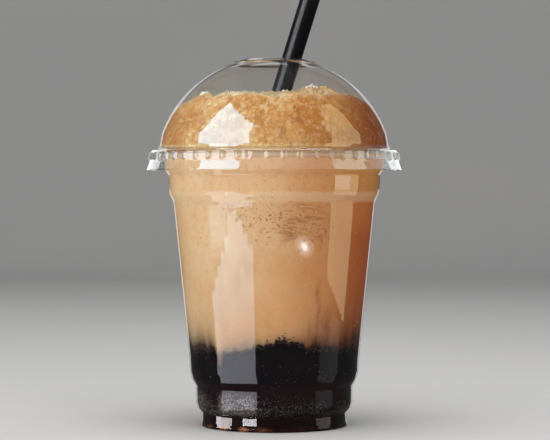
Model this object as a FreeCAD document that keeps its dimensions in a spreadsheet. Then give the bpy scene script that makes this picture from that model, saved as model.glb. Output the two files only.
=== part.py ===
import FreeCAD, Part
import math
import os
import Sketcher
from FreeCAD import Placement, Rotation, Vector

# A clear plastic cup with a domed lid, filled with a blended iced coffee
# drink: dark coffee jelly in syrup at the bottom, the tan drink above it, and
# a coarse slushy heap that stands up into the dome, with a straw through it.
# Millimetres, +Z up, the cup's axis is Z and it stands on z = 0.

# ---------------------------------------------------------------- sizes
SIZES = [
    # cup, outer radius and height of each station, from the foot upwards
    ("wall", 0.6, "sheet thickness of cup and lid"),
    ("push_r", 25.6, "flat middle of the floor, radius"),
    ("push_z", 3.2, "flat middle of the floor, height above the table"),
    ("ring_in_r", 28.0, "standing ring, inner radius"),
    ("ring_out_r", 29.7, "standing ring, outer radius"),
    ("foot_lip_r", 30.5, "foot, rounded lower edge"),
    ("foot_lip_z", 1.0, ""),
    ("foot_low_r", 29.9, "foot, waist"),
    ("foot_low_z", 2.4, ""),
    ("foot_top_r", 29.8, "foot, top of the waist"),
    ("foot_top_z", 5.7, ""),
    ("chamfer_r", 31.9, "sloping step above the foot"),
    ("chamfer_z", 8.2, ""),
    ("band_low_r", 32.2, "upright band above the foot"),
    ("band_low_z", 10.0, ""),
    ("band_top_r", 32.3, ""),
    ("band_top_z", 16.6, ""),
    ("shoulder_r", 34.0, "rounded shoulder over the band"),
    ("shoulder_z", 19.6, ""),
    ("shelf_r", 34.7, ""),
    ("shelf_z", 22.6, ""),
    ("taper_low_r", 35.0, "long tapered wall"),
    ("taper_low_z", 28.4, ""),
    ("taper_top_r", 41.4, ""),
    ("taper_top_z", 90.6, ""),
    ("step_low_r", 41.8, "stacking step under the neck"),
    ("step_low_z", 92.6, ""),
    ("step_mid_r", 43.1, ""),
    ("step_mid_z", 95.2, ""),
    ("step_top_r", 43.4, ""),
    ("step_top_z", 97.2, ""),
    ("neck_r", 43.7, "neck"),
    ("neck_z", 103.4, ""),
    ("flare_r", 45.0, "flare below the rim"),
    ("flare_z", 105.3, ""),
    ("lip_r", 45.7, "wall just under the rolled rim"),
    ("lip_z", 110.7, ""),
    ("roll_r", 47.6, "centre line of the rolled rim"),
    ("roll_half", 1.3, "half the height of the rolled rim"),
    # lid
    ("seat_z", 113.3, "top of the rolled rim, where the lid sits"),
    ("skirt_low_r", 52.6, "lower edge of the lid's skirt"),
    ("skirt_low_z", 105.4, ""),
    ("skirt_mid_r", 51.2, "smooth flared band, top"),
    ("skirt_mid_z", 109.3, ""),
    ("skirt_top_r", 50.8, "skirt's shoulder"),
    ("skirt_top_z", 113.1, ""),
    ("ledge_out_r", 50.3, "ledge round the dome"),
    ("ledge_in_r", 47.8, ""),
    ("ledge_z", 113.9, ""),
    ("dome_foot_r", 47.0, "foot of the dome"),
    ("dome_foot_z", 115.4, ""),
    ("dome_cx", 1.6, "centre of the dome's arc, off the axis"),
    ("dome_cz", 104.4, ""),
    ("dome_arc_r", 47.4, "radius of the dome's arc, outside"),
    ("dome_low_z", 120.5, "lower end of the arc, outside"),
    ("crown_z", 149.8, "foot of the shallow cone round the straw hole"),
    ("dome_top_z", 148.9, "upper end of the arc, outside"),
    ("crown_r", 16.2, "shallow cone, outer radius"),
    ("hole_r", 11.6, "straw hole"),
    ("hole_z", 151.0, "upper edge of the straw hole"),
    ("rib_count", 52, "upright ribs round the skirt"),
    ("rib_in_r", 49.3, "ribs, inner end, gripping the rim"),
    ("rib_out_r", 51.5, "ribs, outer end"),
    ("rib_width", 2.2, "ribs, width round the lid"),
    ("rib_low_z", 109.5, "ribs, lower end"),
    ("rib_top_z", 112.8, "ribs, upper end"),
    # straw
    ("straw_r", 4.0, "straw, outer radius"),
    ("straw_wall", 0.3, ""),
    ("straw_length", 198.0, ""),
    ("straw_tilt", 17.2, "lean towards +X, degrees"),
    ("straw_low_x", -28.2, "middle of the straw's lower end"),
    ("straw_low_z", 37.0, ""),
    # contents
    ("jelly_z", 32.0, "mean top of the dark layer"),
    ("jelly_lump", 9.0, "spacing of the lumps on top of the dark layer"),
    ("jelly_rise", 2.6, "height of those lumps"),
    ("jelly_dip", 7.0, "depth of the tongue of drink that runs down into it"),
    ("fill_z", 112.0, "where the smooth drink ends and the slush begins"),
    ("heap_z", 137.2, "mean top of the heap"),
    ("heap_rise", 2.4, "height of its larger lumps"),
    ("heap_fall", 5.5, "how far it drops towards the dome's wall"),
]

doc = FreeCAD.newDocument("iced_coffee_cup")
sheet = doc.addObject("Spreadsheet::Sheet", "dims")
for row, (name, value, note) in enumerate(SIZES, start=1):
    sheet.set("A%d" % row, name)
    sheet.set("B%d" % row, str(value))
    sheet.set("C%d" % row, note)
    sheet.setAlias("B%d" % row, name)
doc.recompute()


class Size:
    """A number from the sheet together with the expression that gives it."""

    def __init__(self, value, expr):
        self.value = float(value)
        self.expr = expr

    def __add__(self, other):
        return Size(self.value + other.value, "%s + (%s)" % (self.expr, other.expr))

    def __sub__(self, other):
        return Size(self.value - other.value, "%s - (%s)" % (self.expr, other.expr))


def dim(name):
    return Size(sheet.get(name), "dims." + name)


def val(name):
    return float(sheet.get(name))


WALL = dim("wall")
ZERO = Size(0.0, "")

CUP_SIDE = ["foot_lip", "foot_low", "foot_top", "chamfer", "band_low", "band_top",
            "shoulder", "shelf", "taper_low", "taper_top", "step_low", "step_mid",
            "step_top", "neck", "flare", "lip"]


# ------------------------------------------------------------ sketch helpers
def origin_plane(body, role):
    return [f for f in body.Origin.OriginFeatures if f.Role == role][0]


def new_sketch(body, name, role):
    sk = body.newObject("Sketcher::SketchObject", name)
    sk.AttachmentSupport = [(origin_plane(body, role), "")]
    sk.MapMode = "FlatFace"
    return sk


def bind(sk, kind, geo, pos, size, name):
    """Tie one coordinate of a sketch point to the sheet."""
    if kind == "x" and size.expr == "":
        sk.addConstraint(Sketcher.Constraint("PointOnObject", geo, pos, -2))
        return
    if kind == "z" and size.expr == "":
        sk.addConstraint(Sketcher.Constraint("PointOnObject", geo, pos, -1))
        return
    what = "DistanceX" if kind == "x" else "DistanceY"
    i = sk.addConstraint(Sketcher.Constraint(what, -1, 1, geo, pos, size.value))
    sk.renameConstraint(i, name)
    sk.setExpression("Constraints." + name, size.expr)


def arc_through(cx, cz, radius, z):
    return cx + math.sqrt(radius * radius - (z - cz) ** 2)


def profile_sketch(body, name, steps):
    """A closed half section in the XZ plane.

    steps is a list of ("p", r, z) corners and ("arc", cx, cz, radius, z0, z1,
    turn) arcs, whose ends lie on the arc at the heights z0 and z1; turn is +1
    where the arc runs anticlockwise."""
    sk = new_sketch(body, name, "XZ_Plane")
    # corner positions, each with the step that owns it
    pts = []
    for st in steps:
        if st[0] == "p":
            pts.append((st[1].value, st[2].value, st))
        else:
            cx, cz, rad, z0, z1 = (s.value for s in st[1:6])
            pts.append((arc_through(cx, cz, rad, z0), z0, st))
            pts.append((arc_through(cx, cz, rad, z1), z1, None))
    n = len(pts)
    geos = []
    for i in range(n):
        a, b = pts[i], pts[(i + 1) % n]
        if a[2] is not None and a[2][0] == "arc":
            cx, cz, rad = (s.value for s in a[2][1:4])
            turn = a[2][6]
            a0 = math.atan2(a[1] - cz, a[0] - cx)
            a1 = math.atan2(b[1] - cz, b[0] - cx)
            circle = Part.Circle(Vector(cx, cz, 0), Vector(0, 0, 1), rad)
            if turn > 0:
                geos.append((sk.addGeometry(Part.ArcOfCircle(circle, a0, a1), False), "arc", 1, 2))
            else:
                geos.append((sk.addGeometry(Part.ArcOfCircle(circle, a1, a0), False), "arc", 2, 1))
        else:
            seg = Part.LineSegment(Vector(a[0], a[1], 0), Vector(b[0], b[1], 0))
            geos.append((sk.addGeometry(seg, False), "line", 1, 2))
    for i in range(n):
        g, h = geos[i], geos[(i + 1) % n]
        sk.addConstraint(Sketcher.Constraint("Coincident", g[0], g[3], h[0], h[2]))
    for i in range(n):
        g = geos[i]
        st = pts[i][2]
        if st is None:
            continue
        if st[0] == "p":
            bind(sk, "x", g[0], g[2], st[1], "r%d" % i)
            bind(sk, "z", g[0], g[2], st[2], "z%d" % i)
        else:
            bind(sk, "x", g[0], 3, st[1], "cx%d" % i)
            bind(sk, "z", g[0], 3, st[2], "cz%d" % i)
            k = sk.addConstraint(Sketcher.Constraint("Radius", g[0], st[3].value))
            sk.renameConstraint(k, "rad%d" % i)
            sk.setExpression("Constraints.rad%d" % i, st[3].expr)
            bind(sk, "z", g[0], g[2], st[4], "za%d" % i)
            bind(sk, "z", g[0], g[3], st[5], "zb%d" % i)
    return sk


def revolve(body, sk, name):
    rev = body.newObject("PartDesign::Revolution", name)
    rev.Profile = sk
    rev.ReferenceAxis = (sk, ["V_Axis"])
    rev.Angle = 360.0
    doc.recompute()
    return rev


# ------------------------------------------------------------------- cup
cup = doc.addObject("PartDesign::Body", "cup")
cup.Label = "cup"

steps = [("p", ZERO, dim("push_z")),
         ("p", dim("push_r"), dim("push_z")),
         ("p", dim("ring_in_r"), ZERO),
         ("p", dim("ring_out_r"), ZERO)]
for s in CUP_SIDE:
    steps.append(("p", dim(s + "_r"), dim(s + "_z")))
# the rolled rim: a bead with a rounded outer edge, its top at seat_z
roll_cz = dim("seat_z") - dim("roll_half")
steps.append(("p", dim("roll_r"), dim("lip_z")))
steps.append(("p", dim("roll_r") + dim("roll_half"), roll_cz))
steps.append(("p", dim("roll_r"), dim("seat_z")))
steps.append(("p", dim("lip_r") - WALL, dim("seat_z")))
for s in reversed(CUP_SIDE[1:]):
    steps.append(("p", dim(s + "_r") - WALL, dim(s + "_z")))
# inside of the foot: a narrow channel over the standing ring, then the floor
steps.append(("p", dim("ring_out_r") - WALL + Size(0.1, "0.1"), WALL))
steps.append(("p", dim("ring_in_r"), WALL))
steps.append(("p", dim("push_r"), dim("push_z") + WALL))
steps.append(("p", ZERO, dim("push_z") + WALL))
cup_sketch = profile_sketch(cup, "cup_section", steps)
cup_rev = revolve(cup, cup_sketch, "cup_wall")

# ------------------------------------------------------------------- lid
lid = doc.addObject("PartDesign::Body", "lid")
lid.Label = "lid"

cx, cz, arc_r = dim("dome_cx"), dim("dome_cz"), dim("dome_arc_r")
steps = [
    ("p", dim("skirt_low_r") - WALL, dim("skirt_low_z")),
    ("p", dim("skirt_low_r"), dim("skirt_low_z")),
    ("p", dim("skirt_mid_r"), dim("skirt_mid_z")),
    ("p", dim("skirt_top_r"), dim("skirt_top_z")),
    ("p", dim("ledge_out_r"), dim("ledge_z")),
    ("p", dim("ledge_in_r"), dim("ledge_z")),
    ("p", dim("dome_foot_r"), dim("dome_foot_z")),
    ("arc", cx, cz, arc_r, dim("dome_low_z"), dim("dome_top_z"), 1),
    ("p", dim("crown_r"), dim("crown_z")),
    ("p", dim("hole_r"), dim("hole_z")),
    ("p", dim("hole_r"), dim("hole_z") - WALL),
    ("p", dim("crown_r") - WALL, dim("crown_z") - WALL),
    ("arc", cx, cz, arc_r - WALL, dim("dome_top_z") - WALL, dim("dome_low_z"), -1),
    ("p", dim("dome_foot_r") - WALL, dim("dome_foot_z")),
    ("p", dim("dome_foot_r") - WALL, dim("seat_z")),
    ("p", dim("ledge_out_r") - WALL, dim("seat_z")),
    ("p", dim("skirt_top_r") - WALL, dim("skirt_top_z") - WALL),
    ("p", dim("skirt_mid_r") - WALL, dim("skirt_mid_z")),
]
lid_sketch = profile_sketch(lid, "lid_section", steps)
lid_rev = revolve(lid, lid_sketch, "lid_shell")

# ribs: short upright bars that run through the skirt and grip the rim
rib_sketch = new_sketch(lid, "rib_plan", "XY_Plane")
rib_sketch.setExpression("AttachmentOffset.Base.z", "dims.rib_low_z")
r0, r1, half = val("rib_in_r"), val("rib_out_r"), val("rib_width") / 2.0
corners = [Vector(r0, -half, 0), Vector(r1, -half, 0), Vector(r1, half, 0), Vector(r0, half, 0)]
for i in range(4):
    rib_sketch.addGeometry(Part.LineSegment(corners[i], corners[(i + 1) % 4]), False)
for i in range(4):
    rib_sketch.addConstraint(Sketcher.Constraint("Coincident", i, 2, (i + 1) % 4, 1))
rib_sketch.addConstraint(Sketcher.Constraint("Horizontal", 0))
rib_sketch.addConstraint(Sketcher.Constraint("Vertical", 1))
rib_sketch.addConstraint(Sketcher.Constraint("Horizontal", 2))
rib_sketch.addConstraint(Sketcher.Constraint("Vertical", 3))
for name, kind, g, p, value, expr in [
        ("near", "DistanceX", 3, 1, r0, "dims.rib_in_r"),
        ("far", "DistanceX", 1, 1, r1, "dims.rib_out_r"),
        ("side", "DistanceY", 2, 1, half, "dims.rib_width / 2")]:
    k = rib_sketch.addConstraint(Sketcher.Constraint(kind, -1, 1, g, p, value))
    rib_sketch.renameConstraint(k, name)
    rib_sketch.setExpression("Constraints." + name, expr)
k = rib_sketch.addConstraint(Sketcher.Constraint("DistanceY", 1, 1, 1, 2, 2 * half))
rib_sketch.renameConstraint(k, "width")
rib_sketch.setExpression("Constraints.width", "dims.rib_width")
rib = lid.newObject("PartDesign::Pad", "rib")
rib.Profile = rib_sketch
rib.setExpression("Length", "dims.rib_top_z - dims.rib_low_z")
doc.recompute()
ribs = lid.newObject("PartDesign::PolarPattern", "ribs")
ribs.Originals = [rib]
ribs.Axis = (rib_sketch, ["N_Axis"])
ribs.Angle = 360.0
ribs.setExpression("Occurrences", "dims.rib_count")
lid.Tip = ribs
doc.recompute()

# ----------------------------------------------------------------- straw
straw = doc.addObject("PartDesign::Body", "straw")
straw.Label = "straw"
straw_sketch = new_sketch(straw, "straw_plan", "XY_Plane")
for k, (name, value, expr) in enumerate([
        ("outer", val("straw_r"), "dims.straw_r"),
        ("inner", val("straw_r") - val("straw_wall"), "dims.straw_r - dims.straw_wall")]):
    g = straw_sketch.addGeometry(Part.Circle(Vector(0, 0, 0), Vector(0, 0, 1), value), False)
    straw_sketch.addConstraint(Sketcher.Constraint("Coincident", g, 3, -1, 1))
    i = straw_sketch.addConstraint(Sketcher.Constraint("Radius", g, value))
    straw_sketch.renameConstraint(i, name)
    straw_sketch.setExpression("Constraints." + name, expr)
straw_tube = straw.newObject("PartDesign::Pad", "straw_tube")
straw_tube.Profile = straw_sketch
straw_tube.setExpression("Length", "dims.straw_length")
straw.Placement = Placement(Vector(val("straw_low_x"), 0, val("straw_low_z")),
                            Rotation(Vector(0, 1, 0), val("straw_tilt")))
straw.setExpression("Placement.Base.x", "dims.straw_low_x")
straw.setExpression("Placement.Base.z", "dims.straw_low_z")
straw.setExpression("Placement.Rotation.Angle", "dims.straw_tilt * 1 deg")
doc.recompute()


# -------------------------------------------------------------- contents
def turned(points, arcs=()):
    """Solid of revolution about Z from a closed half section."""
    edges = []
    n = len(points)
    for i in range(n):
        a = Vector(points[i][0], 0, points[i][1])
        b = Vector(points[(i + 1) % n][0], 0, points[(i + 1) % n][1])
        arc = dict(arcs).get(i)
        if arc:
            edges.append(Part.Arc(a, Vector(arc[0], 0, arc[1]), b).toShape())
        else:
            edges.append(Part.LineSegment(a, b).toShape())
    face = Part.Face(Part.Wire(edges))
    return Part.makeSolid(face.revolve(Vector(0, 0, 0), Vector(0, 0, 1), 360))


def under(height, reach, cells, floor):
    """Block whose top follows height(x, y) over a square of half side reach."""
    step = 2.0 * reach / cells
    grid = [[Vector(-reach + i * step, -reach + j * step,
                    height(-reach + i * step, -reach + j * step))
             for j in range(cells + 1)] for i in range(cells + 1)]
    surface = Part.BSplineSurface()
    surface.interpolate(grid)
    deep = min(p.z for line in grid for p in line) - floor
    block = surface.toShape().extrude(Vector(0, 0, -(deep + 2 * reach)))
    box = Part.makeBox(4 * reach, 4 * reach, 6 * reach, Vector(-2 * reach, -2 * reach, floor))
    return block.common(box).Solids[0]


def smooth(t):
    t = max(0.0, min(1.0, t))
    return t * t * (3 - 2 * t)


def bump(x, y, cx, cy, width):
    """Rounded lump, 1 at its middle and 0 from one width away."""
    return smooth(1.0 - math.hypot(x - cx, y - cy) / width)


def scatter(i, k):
    """Repeatable number between 0 and 1 for the i-th lump."""
    return math.sin(12.9898 * (i + 1) + 78.233 * (k + 1)) * 43758.5453 % 1.0


def lumps(x, y, spacing, reach, seed):
    """Sum of lumps on a shaken triangular grid, roughly 0 to 1."""
    best = 0.0
    rows = int(reach / spacing) + 1
    for a in range(-rows, rows + 1):
        for b in range(-rows, rows + 1):
            i = (a + 50) * 101 + b + 50 + seed
            cx = (a + 0.5 * (b % 2) + 0.5 * (scatter(i, 0) - 0.5)) * spacing
            cy = (b * 0.87 + 0.5 * (scatter(i, 1) - 0.5)) * spacing
            if math.hypot(x - cx, y - cy) < spacing:
                size = 0.55 + 0.45 * scatter(i, 2)
                best = max(best, size * bump(x, y, cx, cy, 0.95 * spacing))
    return best


def jelly_top(x, y):
    z = val("jelly_z") + val("jelly_rise") * (lumps(x, y, val("jelly_lump"), 45, 7) - 0.35)
    # the drink runs down in one tongue at the front left, and a smaller one behind
    z -= val("jelly_dip") * bump(x, y, -24.0, -27.0, 9.0)
    z -= 0.5 * val("jelly_dip") * bump(x, y, 20.0, 30.0, 9.0)
    # the layer stands a little higher in front of the middle
    z += 1.6 * bump(x, y, 4.0, -33.0, 16.0)
    return z


def heap_top(x, y):
    r = math.hypot(x, y)
    a = math.atan2(y, x)
    z = val("heap_z") + 0.6 * math.sin(0.13 * x + 0.4) + 0.5 * math.cos(0.16 * y - 0.6)
    z += val("heap_rise") * (lumps(x, y, 15.0, 60, 301) - 0.4)
    z += 2.2 * bump(x, y, 15.0, -6.0, 11.0)
    z += 0.9 * bump(x, y, -17.0, -9.0, 12.0)
    z -= 1.9 * bump(x, y, -24.5, -4.0, 6.0)
    # the heap rounds off towards the wall of the dome
    z -= val("heap_fall") * smooth((r - 25.0) / 19.0) * (1.0 + 0.12 * math.sin(3 * a + 1.0))
    return z


inner = [(val(s + "_r") - val("wall"), val(s + "_z")) for s in CUP_SIDE[1:]]
floor_pts = [(0.0, val("push_z") + val("wall")),
             (val("push_r"), val("push_z") + val("wall")),
             (val("ring_in_r"), val("wall")),
             (val("ring_out_r") - val("wall") + 0.1, val("wall"))]
fill = [p for p in inner if p[1] < val("fill_z")]
cup_inside = turned(floor_pts + fill
                    + [(val("lip_r") - val("wall"), val("fill_z")), (0.0, val("fill_z"))])

# straw as a full rod, to cut the hole it stands in
rod = Part.makeCylinder(val("straw_r"), val("straw_length"))
rod.Placement = straw.Placement

jelly_block = under(jelly_top, 40.0, 26, -5.0)
jelly_shape = cup_inside.common(jelly_block)
drink_shape = cup_inside.cut(jelly_block).cut(rod)

# inside of the lid: up the wall of the dome to just under the flat top
ri = val("dome_arc_r") - val("wall")
low_z, top_z = val("dome_low_z"), val("dome_top_z") - val("wall")
mid_z = 0.5 * (low_z + top_z)


def dome_in(z):
    return arc_through(val("dome_cx"), val("dome_cz"), ri, z)


lid_points = [(0.0, val("fill_z")),
              (val("lip_r") - val("wall"), val("fill_z")),
              (val("lip_r") - val("wall"), val("seat_z")),
              (val("dome_foot_r") - val("wall"), val("seat_z")),
              (val("dome_foot_r") - val("wall"), val("dome_foot_z")),
              (dome_in(low_z), low_z),
              (dome_in(top_z), top_z),
              (0.0, top_z)]
lid_inside = turned(lid_points, [(5, (dome_in(mid_z), mid_z))])
heap_block = under(heap_top, 52.0, 22, 60.0)
heap_shape = lid_inside.common(heap_block).cut(rod)

contents = []
for name, shape in [("jelly_layer", jelly_shape), ("drink", drink_shape), ("slush_heap", heap_shape)]:
    solids = sorted(shape.Solids, key=lambda s: s.Volume)
    for s in solids[:-1]:
        print(name, "has a loose sliver of", round(s.Volume, 4), "mm3, left out")
    obj = doc.addObject("Part::Feature", name)
    obj.Label = name
    obj.Shape = solids[-1].removeSplitter()
    obj.Placement = Placement()
    contents.append(obj)

doc.recompute()

# ---------------------------------------------------------------- checks
for obj in doc.Objects:
    bad = [s for s in obj.State if s in ("Invalid", "Error")]
    if bad:
        raise RuntimeError("%s: %s" % (obj.Name, bad))

nodes = [cup, lid, straw] + contents
os.makedirs("parts", exist_ok=True)
for obj in nodes:
    sh = obj.Shape
    if sh.isNull() or not sh.isValid():
        raise RuntimeError("%s has no valid shape" % obj.Label)
    if len(sh.Solids) != 1:
        raise RuntimeError("%s has %d solids" % (obj.Label, len(sh.Solids)))
for i, a in enumerate(nodes):
    for b in nodes[i + 1:]:
        if a.Shape.BoundBox.intersect(b.Shape.BoundBox):
            v = a.Shape.common(b.Shape).Volume
            if v > 0.5:
                print("overlap", a.Label, b.Label, round(v, 3), "mm3")
for obj in nodes:
    sh = obj.Shape
    sh.exportStep("parts/%s.step" % obj.Label)
    bb = sh.BoundBox
    print("%-12s volume %10.1f mm3  x %.2f..%.2f  y %.2f..%.2f  z %.2f..%.2f  faces %d" % (
        obj.Label, sh.Volume, bb.XMin, bb.XMax, bb.YMin, bb.YMax, bb.ZMin, bb.ZMax, len(sh.Faces)))
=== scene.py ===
import bpy
import bmesh
import math
import numpy as np
from mathutils import Vector, Matrix, Euler


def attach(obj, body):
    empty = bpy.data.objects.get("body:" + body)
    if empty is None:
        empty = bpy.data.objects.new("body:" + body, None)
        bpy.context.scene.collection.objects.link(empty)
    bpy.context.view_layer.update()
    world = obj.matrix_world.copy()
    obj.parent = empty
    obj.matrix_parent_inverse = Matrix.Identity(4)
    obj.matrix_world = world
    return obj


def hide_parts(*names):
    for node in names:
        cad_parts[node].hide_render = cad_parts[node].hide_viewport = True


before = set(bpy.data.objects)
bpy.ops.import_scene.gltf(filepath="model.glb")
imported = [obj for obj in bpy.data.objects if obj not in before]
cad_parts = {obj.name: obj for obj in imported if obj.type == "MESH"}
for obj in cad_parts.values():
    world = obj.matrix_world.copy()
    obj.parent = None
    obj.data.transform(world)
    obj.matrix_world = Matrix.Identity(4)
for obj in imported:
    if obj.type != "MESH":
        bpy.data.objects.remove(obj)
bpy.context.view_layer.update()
MM = 0.001
scene = bpy.context.scene

# ------------------------------------------------------------------ sizes, mm
WALL = 0.42                     # sheet of cup and lid
REACH = 0.16                    # how far the contents reach into the sheet
FILL_Z = 112.0                  # smooth drink below, slush above
SEAT_Z = 113.3
DOME_CX, DOME_CZ, DOME_R = 1.6, 104.4, 47.4
DOME_LOW_Z, CROWN_R, HOLE_R = 120.5, 16.4, 11.6
RIBS = 52
STRAW_R, STRAW_WALL, STRAW_LEN = 4.0, 0.32, 198.0
STRAW_TILT = math.radians(17.2)
STRAW_LOW = (-28.2, 0.0, 37.0)

# outer wall of the cup: radius, height, corner radius
CUP_PATH = [(0, 3.2, 0), (25.6, 3.2, 1.2), (28.0, 0.02, 0.5), (29.7, 0.02, 0.5), (30.5, 1.0, 0.5),
            (29.95, 2.4, 1.2), (29.8, 5.7, 0.9), (31.8, 8.2, 1.4), (32.2, 10.0, 2.0), (32.3, 16.6, 1.2),
            (34.0, 19.6, 2.0), (34.75, 22.8, 3.0), (35.0, 28.4, 12.0), (41.4, 90.6, 4.0), (41.8, 92.6, 1.2),
            (43.1, 95.2, 1.4), (43.4, 97.4, 2.5), (43.7, 103.3, 1.0), (45.0, 105.3, 1.2), (45.7, 111.5, 0)]


# ------------------------------------------------------------------ noise
def hash3(ix, iy, iz, seed):
    h = (ix.astype(np.uint32) * np.uint32(374761393)) ^ (iy.astype(np.uint32) * np.uint32(668265263))
    h ^= iz.astype(np.uint32) * np.uint32(2246822519)
    h ^= np.uint32((seed * 3266489917 + 374761) & 0xFFFFFFFF)
    h ^= h >> np.uint32(15)
    h *= np.uint32(2246822519)
    h ^= h >> np.uint32(13)
    h *= np.uint32(3266489917)
    h ^= h >> np.uint32(16)
    return h.astype(np.float64) / 4294967296.0


def _cell(v):
    f = np.floor(v)
    return f.astype(np.int64) & 0xFFFFFFFF, v - f


def vnoise(x, y, z, seed=0):
    ix, fx = _cell(x)
    iy, fy = _cell(y)
    iz, fz = _cell(z)
    fx, fy, fz = (f * f * f * (f * (f * 6 - 15) + 10) for f in (fx, fy, fz))
    out = 0.0
    for dx in (0, 1):
        wx = fx if dx else 1 - fx
        for dy in (0, 1):
            wy = fy if dy else 1 - fy
            for dz in (0, 1):
                wz = fz if dz else 1 - fz
                out = out + wx * wy * wz * hash3((ix + dx) & 0xFFFFFFFF, (iy + dy) & 0xFFFFFFFF,
                                                 (iz + dz) & 0xFFFFFFFF, seed)
    return 2 * out - 1


def fbm(x, y, z, seed=0, octaves=3, gain=0.5):
    total, amp, norm = 0.0, 1.0, 0.0
    for k in range(octaves):
        f = 2.03 ** k
        total = total + amp * vnoise(x * f + 17.3 * k, y * f - 9.1 * k, z * f + 4.7 * k, seed + 31 * k)
        norm += amp
        amp *= gain
    return total / norm


def worley(x, y, z, seed=0):
    """Distance to the nearest and second nearest shaken lattice point, and a number for that point."""
    ix, fx = _cell(x)
    iy, fy = _cell(y)
    iz, fz = _cell(z)
    f1 = np.full(np.shape(x), 9.0)
    f2 = np.full(np.shape(x), 9.0)
    who = np.zeros(np.shape(x))
    for dx in (-1, 0, 1):
        for dy in (-1, 0, 1):
            for dz in (-1, 0, 1):
                a, b, c = (ix + dx) & 0xFFFFFFFF, (iy + dy) & 0xFFFFFFFF, (iz + dz) & 0xFFFFFFFF
                px = dx + hash3(a, b, c, seed) - fx
                py = dy + hash3(a, b, c, seed + 1) - fy
                pz = dz + hash3(a, b, c, seed + 2) - fz
                d = np.sqrt(px * px + py * py + pz * pz)
                near = d < f1
                f2 = np.where(near, f1, np.minimum(f2, d))
                who = np.where(near, hash3(a, b, c, seed + 3), who)
                f1 = np.where(near, d, f1)
    return f1, f2, who


def smooth(t):
    t = np.clip(t, 0.0, 1.0)
    return t * t * (3 - 2 * t)


def bump(x, y, cx, cy, width):
    return smooth(1.0 - np.hypot(x - cx, y - cy) / width)


# ------------------------------------------------------------------ paths
def fillet_path(pts, step_deg=7.0):
    """Polyline (r, z, corner radius) with its corners rounded and long runs given support rows."""
    out = [np.array(pts[0][:2], float)]
    for i in range(1, len(pts) - 1):
        p0, p1, p2 = (np.array(pts[k][:2], float) for k in (i - 1, i, i + 1))
        a, b = p0 - p1, p2 - p1
        la, lb = np.linalg.norm(a), np.linalg.norm(b)
        a, b = a / la, b / lb
        turn = math.pi - math.acos(np.clip(a @ b, -1, 1))
        rad = pts[i][2]
        if rad <= 0 or turn < 0.01:
            out.append(p1)
            continue
        t = min(rad * math.tan(turn / 2), 0.47 * la, 0.47 * lb)
        rad = t / math.tan(turn / 2)
        mid = a + b
        mid /= np.linalg.norm(mid)
        c = p1 + mid * (rad / math.cos(turn / 2))
        s, e = p1 + a * t, p1 + b * t
        n = max(3, int(math.degrees(turn) / step_deg) + 2)
        a0 = math.atan2(*(s - c)[::-1])
        a1 = math.atan2(*(e - c)[::-1])
        d = (a1 - a0 + math.pi) % (2 * math.pi) - math.pi
        for k in range(n):
            ang = a0 + d * k / (n - 1)
            out.append(c + rad * np.array([math.cos(ang), math.sin(ang)]))
    out.append(np.array(pts[-1][:2], float))
    dense = [out[0]]
    for p, q in zip(out[:-1], out[1:]):
        length = np.linalg.norm(q - p)
        if length > 2.4:
            u = (q - p) / length
            inner = [0.5] + list(np.linspace(0.5, length - 0.5, max(2, int(length / 7) + 2))[1:-1]) + [length - 0.5]
            dense += [p + u * k for k in inner]
        if length > 1e-6:
            dense.append(q)
    return np.array(dense)


def normals_of(path):
    """Unit normals on the left of the direction of travel, for a dense (r, z) path."""
    d = np.zeros_like(path)
    seg = path[1:] - path[:-1]
    seg /= np.maximum(np.linalg.norm(seg, axis=1, keepdims=True), 1e-9)
    d[0], d[-1] = seg[0], seg[-1]
    d[1:-1] = seg[1:] + seg[:-1]
    d /= np.maximum(np.linalg.norm(d, axis=1, keepdims=True), 1e-9)
    return np.stack([-d[:, 1], d[:, 0]], axis=1)


def offset(path, dist):
    """Moves a path sideways; positive is to the left of the direction of travel."""
    return path + normals_of(path) * dist


# ------------------------------------------------------------------ meshes
def make_object(name, verts, faces, smooth_shade=True):
    me = bpy.data.meshes.new(name)
    me.from_pydata([tuple(v) for v in verts], [], faces)
    me.update()
    bm = bmesh.new()
    bm.from_mesh(me)
    bmesh.ops.recalc_face_normals(bm, faces=bm.faces)
    bm.to_mesh(me)
    bm.free()
    if smooth_shade:
        me.shade_smooth()
    ob = bpy.data.objects.new(name, me)
    scene.collection.objects.link(ob)
    return ob


def ring_faces(a, na, b, nb):
    """Faces between a ring of na vertices from index a and one of nb from index b."""
    faces = []
    if na == nb:
        for j in range(na):
            k = (j + 1) % na
            faces.append((a + j, a + k, b + k, b + j))
    elif na > nb:
        m = na // nb
        for j in range(nb):
            top = [a + (j * m + i) % na for i in range(m + 1)]
            faces.append(tuple(top + [b + (j + 1) % nb, b + j]))
    else:
        m = nb // na
        for j in range(na):
            low = [b + (j * m + i) % nb for i in range(m, -1, -1)]
            faces.append(tuple([a + j, a + (j + 1) % na] + low))
    return faces


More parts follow.
